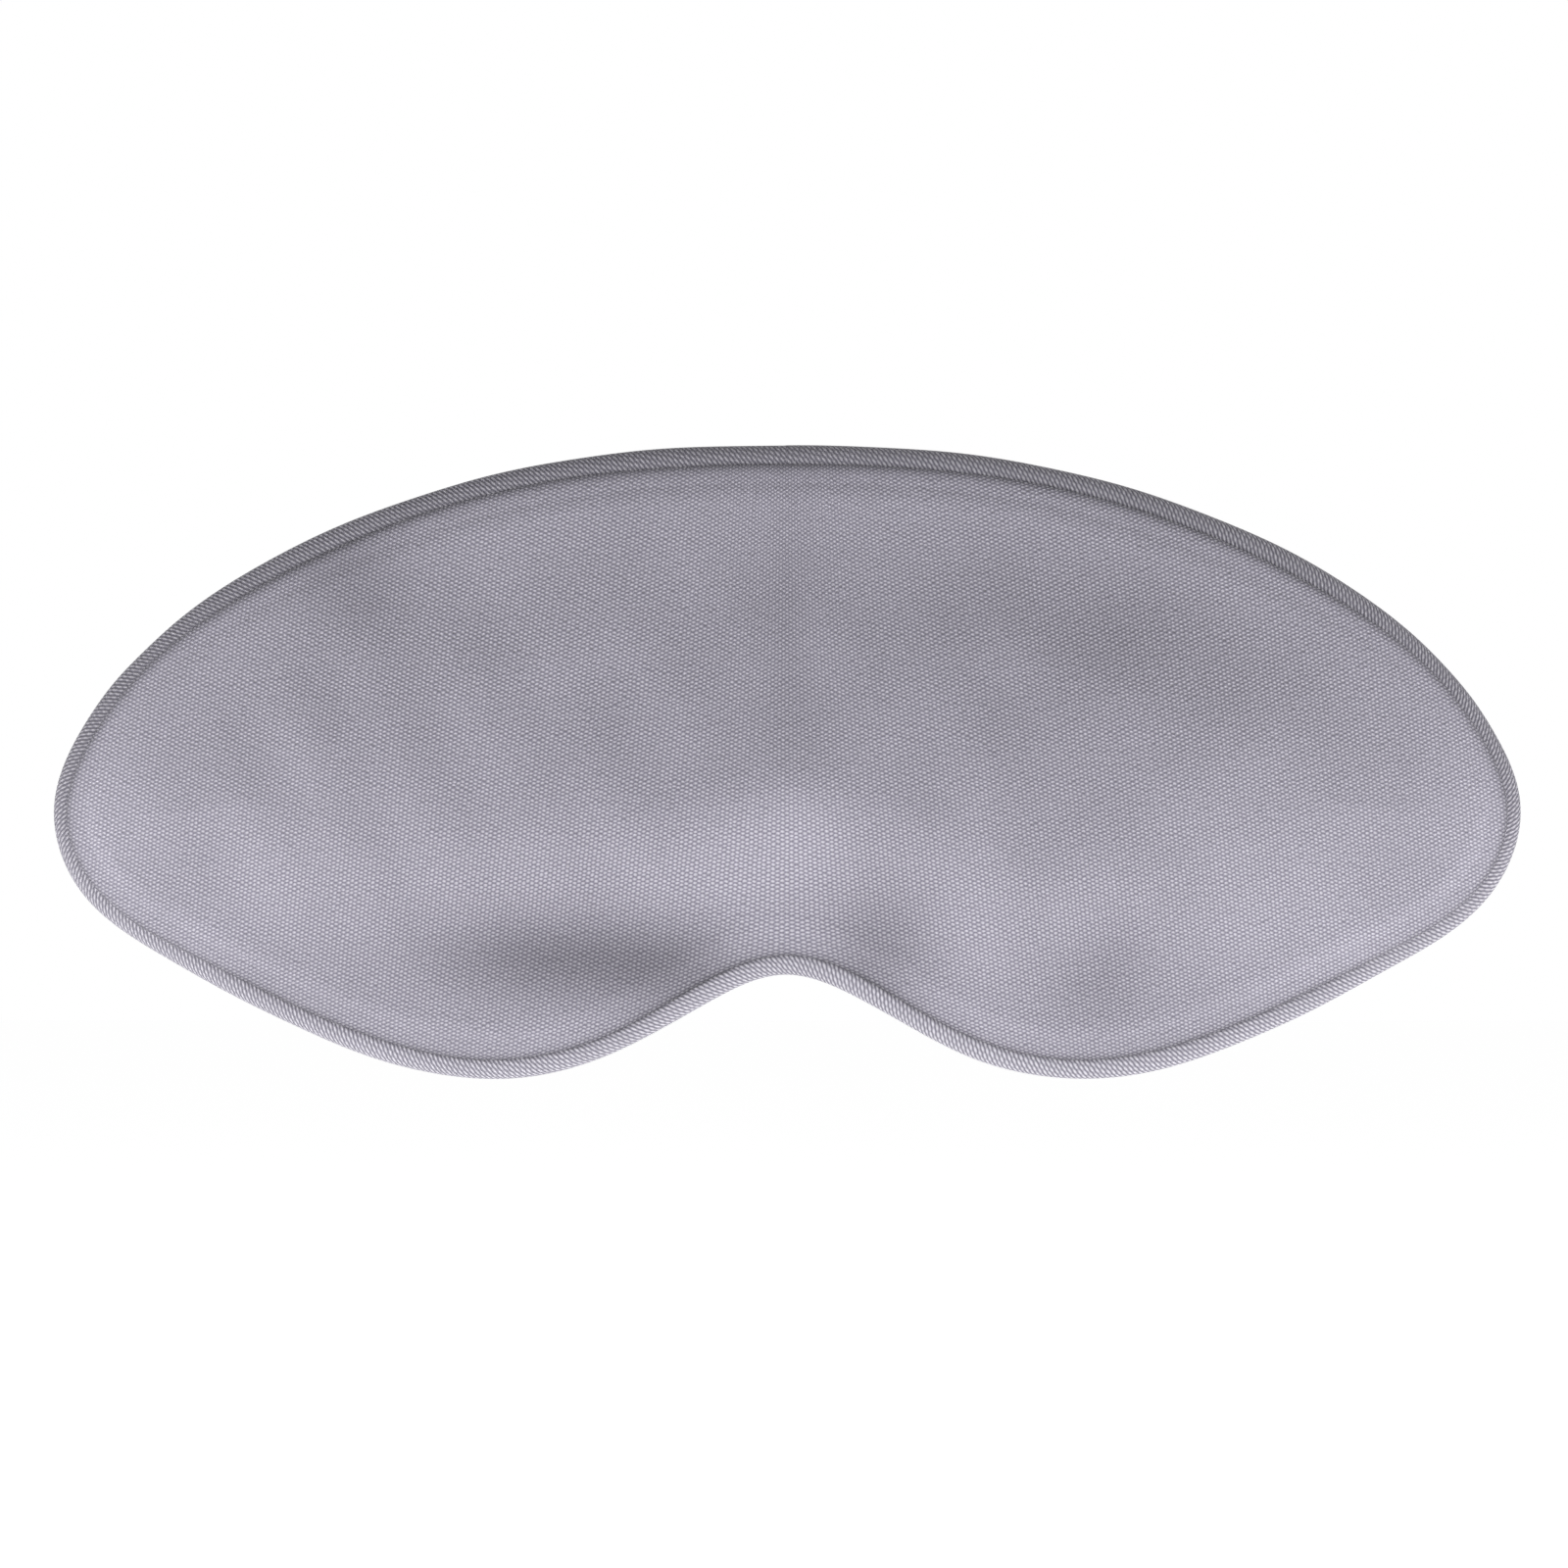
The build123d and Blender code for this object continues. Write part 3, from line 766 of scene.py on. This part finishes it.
def eye_cushion(side, label):
    """The puffy oval round one eye, gathered a little where it is sewn down."""
    turns = np.linspace(0, 2 * pi, 192, endpoint=False)
    slope = 2 * back_depth(EYE_X) / EYE_X
    length = hypot(1, slope)
    along_x = np.array([1, slope, 0]) / length
    normal = np.array([-slope, 1, 0]) / length
    middle = np.array([EYE_X, back_depth(EYE_X) + CUSHION_LIFT, EYE_Z])
    radial = np.cos(turns)[:, None] * along_x + np.sin(turns)[:, None] * UP
    centres = middle + np.cos(turns)[:, None] * along_x * EYE_RADIUS_X
    centres = centres + np.sin(turns)[:, None] * UP * EYE_RADIUS_Z
    around = np.linspace(0, 2 * pi, 40, endpoint=False)
    puff = np.ones((len(turns), 1))
    for share, rate, start in PUFFS:
        puff += share * np.sin(turns * rate + start)[:, None]
    gathers = GATHER_DEPTH * np.sin(turns * GATHERS)[:, None] * np.clip(-np.sin(around), 0, 1)
    radius = CUSHION_RADIUS * (puff + gathers)
    rise = radius * np.sin(around) * CUSHION_FLATTENING
    section = np.stack([radius * np.cos(around), rise], axis=-1)
    centres[:, 0] *= side
    radial[:, 0] *= side
    normal = normal * np.array([side, 1, 1])
    piece = ring_piece(f"eye_cushion_{label}_pad", centres, radial, normal, section, True)
    return dress(piece, cushion_jersey, "pad", [f"eye_cushion_{label}"])


def nose_seal():
    """The ridge over the nose notch, fading out at both ends."""
    steps = np.linspace(-1, 1, 97)
    x = SEAL_END[0] * np.sin(steps * pi / 2)
    drop = SEAL_TOP_Z - SEAL_END[1]
    z = SEAL_TOP_Z - drop * (x / SEAL_END[0]) ** 2
    centres = np.stack([x, back_depth(x) + SEAL_LIFT, z], axis=1)
    forward = np.gradient(centres, axis=0)
    forward /= np.linalg.norm(forward, axis=1)[:, None]
    normal = np.array([0.0, 1.0, 0.0])
    outward = np.cross(forward, normal)
    around = np.linspace(0, 2 * pi, 28, endpoint=False)
    taper = np.sqrt(np.clip(1 - np.abs(steps) ** 3, 0.0004, 1))[:, None]
    radius = SEAL_RADIUS * taper
    section = np.stack([radius * np.cos(around), radius * np.sin(around)], axis=-1)
    piece = ring_piece("nose_seal_pad", centres, outward, normal, section, False)
    return dress(piece, cushion_jersey, "pad", ["nose_seal"])


# ---------------------------------------------------------------- strap


def plan_path(start, heading, moves, step=PATH_STEP):
    """Points along straights (length,) and bends (radius, turn in degrees) in plan."""
    point = np.array([start[0], start[1], 0.0])
    angle = radians(heading)
    points = [point]
    for move in moves:
        if len(move) == 1:
            count = max(2, int(move[0] / step))
            for share in np.linspace(0, 1, count + 1)[1:]:
                points.append(point + share * move[0] * np.array([cos(angle), sin(angle), 0]))
            point = points[-1]
        else:
            radius, turn = move[0], radians(move[1])
            side = 1 if turn > 0 else -1
            centre = point + side * radius * np.array([-sin(angle), cos(angle), 0])
            count = max(8, int(abs(turn) * radius / step))
            for share in np.linspace(0, 1, count + 1)[1:]:
                now = angle + share * turn
                points.append(centre + side * radius * np.array([sin(now), -cos(now), 0]))
            angle += turn
            point = points[-1]
    return np.array(points)


def strip_piece(name, path):
    """Flat elastic along a plan path, on edge, with rounded borders and closed ends."""
    forward = np.gradient(path, axis=0)
    forward /= np.linalg.norm(forward, axis=1)[:, None]
    sideways = np.cross(UP, forward)
    half, thick = STRAP_WIDTH / 2, STRAP_THICKNESS / 2
    flat = np.linspace(-1, 1, 25)
    top = [(half * f, thick * (1 - BORDER_THINNING * abs(f) ** 12)) for f in flat]
    bottom = [(half * f, -thick * (1 - BORDER_THINNING * abs(f) ** 12)) for f in flat[::-1]]
    section = np.array(top + bottom)
    points = path[:, None] + UP * section[:, :1] + sideways[:, None] * section[:, 1:]
    steps = np.linalg.norm(np.diff(path, axis=0), axis=1)
    along = np.concatenate([[0], np.cumsum(steps)])
    u = np.broadcast_to(along[:, None], (len(along), len(section) + 1))
    v = np.broadcast_to(np.append(section[:, 0], section[0, 0]), u.shape)
    piece = grid_piece(name, points, np.stack([u, v], axis=-1), False, True)
    close_ends(piece, len(path), len(section))
    return piece, along[-1]


def close_ends(piece, rows, columns):
    """Caps both ends of an open tube made by grid_piece."""
    mesh = piece.data
    vertices = [tuple(v.co) for v in mesh.vertices]
    faces = [tuple(p.vertices) for p in mesh.polygons]
    loops = np.zeros(len(mesh.loops) * 2, np.float32)
    mesh.uv_layers[0].data.foreach_get("uv", loops)
    first = tuple(range(columns))
    last = tuple(range((rows - 1) * columns, rows * columns))[::-1]
    capped = bpy.data.meshes.new(mesh.name + "_capped")
    capped.from_pydata(vertices, [], faces + [first, last])
    layer = capped.uv_layers.new(name="fabric")
    padded = np.concatenate([loops, np.zeros(4 * columns, np.float32)])
    layer.data.foreach_set("uv", padded)
    capped.polygons.foreach_set("use_smooth", [True] * len(faces) + [False] * 2)
    capped.update()
    piece.data = capped


def side_point(along, inwards=0.0):
    """A point on the strap's left side, along it from the hinge line and inwards from it."""
    lean = radians(STRAP_LEAN)
    x = HINGE_X - along * sin(lean) - inwards * cos(lean)
    y = HINGE_Y + along * cos(lean) - inwards * sin(lean)
    return np.array([x, y, 0.0])


def root_path():
    """The sewn end and the run from it to the hinge line, on the left side."""
    lift = PATCH_THICKNESS + STRAP_THICKNESS / 2 + ROOT_GAP
    rise = back_depth(ROOT_X + ROOT_FLAT) - back_depth(ROOT_X)
    heading = degrees(atan2(rise, ROOT_FLAT))
    flat = hypot(rise, ROOT_FLAT)
    start = (ROOT_X, back_depth(ROOT_X) + lift)
    bent = plan_path(start, heading, [(flat,), (ROOT_BEND, 90 + STRAP_LEAN - heading)])
    gap = side_point(0) - bent[-1]
    count = int(np.linalg.norm(gap) / PATH_STEP)
    run = [bent[-1] + gap * share for share in np.linspace(0, 1, count + 1)[1:]]
    return np.vstack([bent, run])


def strap_pieces():
    """The long band, the tab that holds the ring, and the strand back to the slider."""
    root = root_path()
    mirrored = root * np.array([-1, 1, 1])
    lean = radians(STRAP_LEAN)
    back = 2 * (HINGE_X - STRAP_SIDE * sin(lean) - STRAP_BEND * cos(lean))
    ring_bar = RING_CENTRE + RING_LENGTH / 2
    bend = (STRAP_BEND, STRAP_LEAN - 90)
    moves = [(STRAP_SIDE,), bend, (back,), bend, (STRAP_SIDE - ring_bar,)]
    moves += [(WRAP_RADIUS, -180), (BAND_END,)]
    band = plan_path((-HINGE_X, HINGE_Y), 90 - STRAP_LEAN, moves)
    tab_moves = [(RING_CENTRE - RING_LENGTH / 2,), (WRAP_RADIUS, 180), (TAB_RETURN,)]
    tab = plan_path((HINGE_X, HINGE_Y), 90 + STRAP_LEAN, tab_moves)
    first = side_point(ring_bar + BAND_END, 2 * WRAP_RADIUS)
    run = SLIDER_CENTRE - ring_bar - BAND_END
    strand_moves = [(run,), (LOOP_RADIUS, -180), (LOOP_TAIL,)]
    strand = plan_path(first, 90 + STRAP_LEAN, strand_moves, STRAND_STEP)
    return {
        "strap_band_elastic": np.vstack([mirrored, band[1:]]),
        "ring_tab_elastic": np.vstack([root, tab[1:]]),
        "return_strand_elastic": strand,
    }


def strap():
    """Lays the elastic in place of the CAD strap nodes."""
    paths = strap_pieces()
    replaced = {
        "strap_band_elastic": ("strap_band", "strap_root_right"),
        "ring_tab_elastic": ("ring_tab", "strap_root_left"),
        "return_strand_elastic": ("strap_return", "strap_end_loop"),
    }
    for name, path in paths.items():
        piece, length = strip_piece(name, path)
        dress(piece, elastic, None, replaced[name])
        if name == "return_strand_elastic":
            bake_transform(piece)
        else:
            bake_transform(piece)


# ---------------------------------------------------------------- sewing


def stitches(name, places, directions, normals, length, radius):
    """Short arched stitches, each a small bar whose ends dive into the cloth."""
    along = np.linspace(-1, 1, 7)
    around = np.linspace(0, 2 * pi, 8, endpoint=False)
    vertices, faces, uv = [], [], []
    for place, direction, normal in zip(places, directions, normals):
        side = np.cross(direction, normal)
        base = len(vertices)
        for share in along:
            arch = radius * (1.1 - 2.0 * abs(share) ** 3)
            centre = place + direction * share * length / 2 + normal * arch
            for turn in around:
                vertices.append(centre + radius * (side * cos(turn) + normal * sin(turn)))
        for i in range(len(along) - 1):
            for j in range(len(around)):
                k = (j + 1) % len(around)
                row, row_up = base + i * len(around), base + (i + 1) * len(around)
                faces.append((row + j, row_up + j, row_up + k, row + k))
                low, high = along[i] * length / 2, along[i + 1] * length / 2
                turn, turned = around[j], around[j] + around[1]
                uv += [(low, turn), (high, turn), (high, turned), (low, turned)]
    mesh = bpy.data.meshes.new(name)
    mesh.from_pydata([tuple(v) for v in vertices], [], faces)
    layer = mesh.uv_layers.new(name="fabric")
    layer.data.foreach_set("uv", np.array(uv, np.float32).ravel())
    mesh.polygons.foreach_set("use_smooth", [True] * len(faces))
    mesh.update()
    piece = bpy.data.objects.new(name, mesh)
    bpy.context.scene.collection.objects.link(piece)
    return piece


def binding_stitches():
    """The stitch line that closes the binding, seen on the face side."""
    row = outline(BINDING_STITCH_INSET)
    depth = back_depth(row[:, 0]) + BINDING_STITCH_LIFT
    centres = np.stack([row[:, 0], depth, row[:, 1]], axis=1)
    closed = np.vstack([centres, centres[:1]])
    places = resample(closed, BINDING_STITCH_COUNT + 1)
    directions = np.diff(places, axis=0)
    directions /= np.linalg.norm(directions, axis=1)[:, None]
    places = places[:-1]
    normals = np.broadcast_to([0.0, 1.0, 0.0], places.shape)
    piece = stitches("binding_stitch_line", places, directions, normals, *BINDING_STITCH)
    return dress(piece, thread, "pad", ["binding_stitches"])


def box_stitch(width, height, pitch):
    """Places and directions, in a plane, of a sewn box with a cross in it."""
    corners = [(-width, -height), (width, -height), (width, height), (-width, height)]
    lines = [(corners[i], corners[(i + 1) % 4]) for i in range(4)]
    lines += [(corners[0], corners[2]), (corners[1], corners[3])]
    spots = []
    for start, end in lines:
        start, end = np.array(start), np.array(end)
        run = end - start
        length = np.linalg.norm(run)
        count = int(length / pitch)
        for i in range(count):
            spots.append((start + run * (i + 0.5) / count, run / length))
    return spots


def root_stitches(side, label):
    """The sewn box with a cross that holds one end of the strap."""
    rise = back_depth(ROOT_X + ROOT_FLAT) - back_depth(ROOT_X)
    along = np.array([ROOT_FLAT, rise, 0]) / hypot(ROOT_FLAT, rise)
    normal = np.array([-along[1], along[0], 0])
    lift = PATCH_THICKNESS + STRAP_THICKNESS + ROOT_STITCH_LIFT
    middle = np.array([ROOT_X, back_depth(ROOT_X), 0])
    middle = middle + along * ROOT_STITCH_MIDDLE + normal * lift
    flip = np.array([side, 1, 1])
    places, directions = [], []
    for spot, run in box_stitch(*ROOT_BOX, ROOT_STITCH_PITCH):
        places.append((middle + along * spot[0] + UP * spot[1]) * flip)
        directions.append((along * run[0] + UP * run[1]) * flip)
    normals = [normal * flip] * len(places)
    name = f"root_box_stitch_{label}"
    piece = stitches(name, places, directions, normals, *ROOT_STITCH)
    return dress(piece, thread, "pad", [f"root_stitches_{label}"])


def fold_stitches(name, along, body, node):
    """Two dense rows across a fold of the strap, on its inner face."""
    lean = radians(STRAP_LEAN)
    normal = np.array([-cos(lean), -sin(lean), 0])
    places, directions = [], []
    middle = FOLD_STITCH_COUNT // 2
    for row in FOLD_ROWS:
        base = side_point(along + row, 2 * WRAP_RADIUS + STRAP_THICKNESS / 2)
        for i in range(FOLD_STITCH_COUNT):
            places.append(base + UP * (i - middle) * FOLD_STITCH_PITCH)
            directions.append(UP)
    normals = [normal] * len(places)
    piece = stitches(name, places, directions, normals, *FOLD_STITCH)
    return dress(piece, thread, body, [node])


def strap_patch(side, label):
    """The felt patch under the strap's sewn end, with eased edges."""
    columns, rows = 41, 57
    low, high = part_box(f"strap_patch_{label}")
    half_width, half_height = (high.x - low.x) / 2, (high.z - low.z) / 2
    middle_x, middle_z = (high.x + low.x) / 2, (high.z + low.z) / 2
    turn = np.sin(np.linspace(-pi / 2, pi / 2, columns))
    rise = np.sin(np.linspace(-pi / 2, pi / 2, rows))[:, None]
    z = half_height * rise * np.ones(columns)
    past = np.clip(np.abs(z) - (half_height - PATCH_CORNER), 0, PATCH_CORNER)
    width = half_width - PATCH_CORNER + np.sqrt(PATCH_CORNER**2 - past**2)
    x = width * turn
    gap = np.minimum(width - np.abs(x), half_height - np.abs(z))
    height = rim(gap, PATCH_EASE, PATCH_THICKNESS)
    y = back_depth(x + middle_x) + height
    points = np.stack([x + middle_x, y, z + middle_z], axis=-1)[:, ::-1]
    uv = np.stack([points[:, :, 0], points[:, :, 2]], axis=-1)
    piece = grid_piece(f"strap_patch_{label}_felt", points, uv)
    return dress(piece, patch_felt, "pad", [f"strap_patch_{label}"])


# ---------------------------------------------------------------- stage


def stage():
    """A pale glowing floor below and behind the pad, and a white surround."""
    place = (0, FLOOR_PLACE, cad_box[0][2] - FLOOR_DROP)
    bpy.ops.mesh.primitive_plane_add(size=FLOOR_SIZE, location=place)
    floor = bpy.context.object
    floor.name = "pale_floor"
    nodes = Nodes("pale_floor")
    nodes.shader.inputs["Emission Color"].default_value = (1, 1, 1, 1)
    nodes.shader.inputs["Emission Strength"].default_value = FLOOR_SHADE
    colour = (FLOOR_SHADE, FLOOR_SHADE, FLOOR_SHADE, 1)
    floor.data.materials.append(nodes.finish(colour, roughness=0.9))
    world = bpy.data.worlds.new("studio")
    bpy.context.scene.world = world
    world.use_nodes = True
    tree = world.node_tree
    surround = tree.nodes["Background"]
    surround.inputs["Color"].default_value = (1, 1, 1, 1)
    seen = tree.nodes.new("ShaderNodeLightPath").outputs["Is Camera Ray"]
    strength = tree.nodes.new("ShaderNodeMapRange")
    tree.links.new(seen, strength.inputs["Value"])
    strength.inputs["To Min"].default_value = SURROUND_LIGHT
    strength.inputs["To Max"].default_value = 1.0
    tree.links.new(strength.outputs[0], surround.inputs["Strength"])


def softbox(name, place, size, power):
    """A rectangular area light aimed at the origin."""
    data = bpy.data.lights.new(name, "AREA")
    data.energy = power
    data.shape = "RECTANGLE"
    data.size = size[0]
    data.size_y = size[1]
    light = bpy.data.objects.new(name, data)
    bpy.context.scene.collection.objects.link(light)
    light.location = place
    light.rotation_euler = (-Vector(place)).to_track_quat("-Z", "Y").to_euler()


def camera():
    """Straight on to the front, from far enough to keep the outline's proportions."""
    data = bpy.data.cameras.new("camera")
    data.lens = LENS
    data.sensor_width = SENSOR_WIDTH
    distance = VIEW_WIDTH * LENS / SENSOR_WIDTH
    eye = bpy.data.objects.new("camera", data)
    bpy.context.scene.collection.objects.link(eye)
    eye.location = (VIEW_MIDDLE[0], VIEW_MIDDLE[1] - distance, VIEW_MIDDLE[2])
    eye.rotation_euler = (radians(90), 0, 0)
    bpy.context.scene.camera = eye
    bpy.context.scene.view_settings.view_transform = "Standard"


# ---------------------------------------------------------------- build

outer_shell()
foam_core()
blackout_layer()
inner_lining()
edge_binding()
for side_sign, side_name in ((1, "left"), (-1, "right")):
    eye_cushion(side_sign, side_name)
    strap_patch(side_sign, side_name)
    root_stitches(side_sign, side_name)
nose_seal()
binding_stitches()
strap()
tab_seam = RING_CENTRE - RING_LENGTH / 2 - TAB_RETURN + 0.002
fold_stitches("tab_seam", tab_seam, "strap", "tab_stitches")
fold_stitches("loop_seam", SLIDER_CENTRE - LOOP_TAIL, "slider", "loop_stitches")
for moulded in ("adjuster_ring", "adjuster_slider"):
    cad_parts[moulded].data.materials.clear()
    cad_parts[moulded].data.materials.append(moulded_plastic)
stage()
for name, place, size, power in LIGHTS:
    softbox(name, place, size, power)
camera()
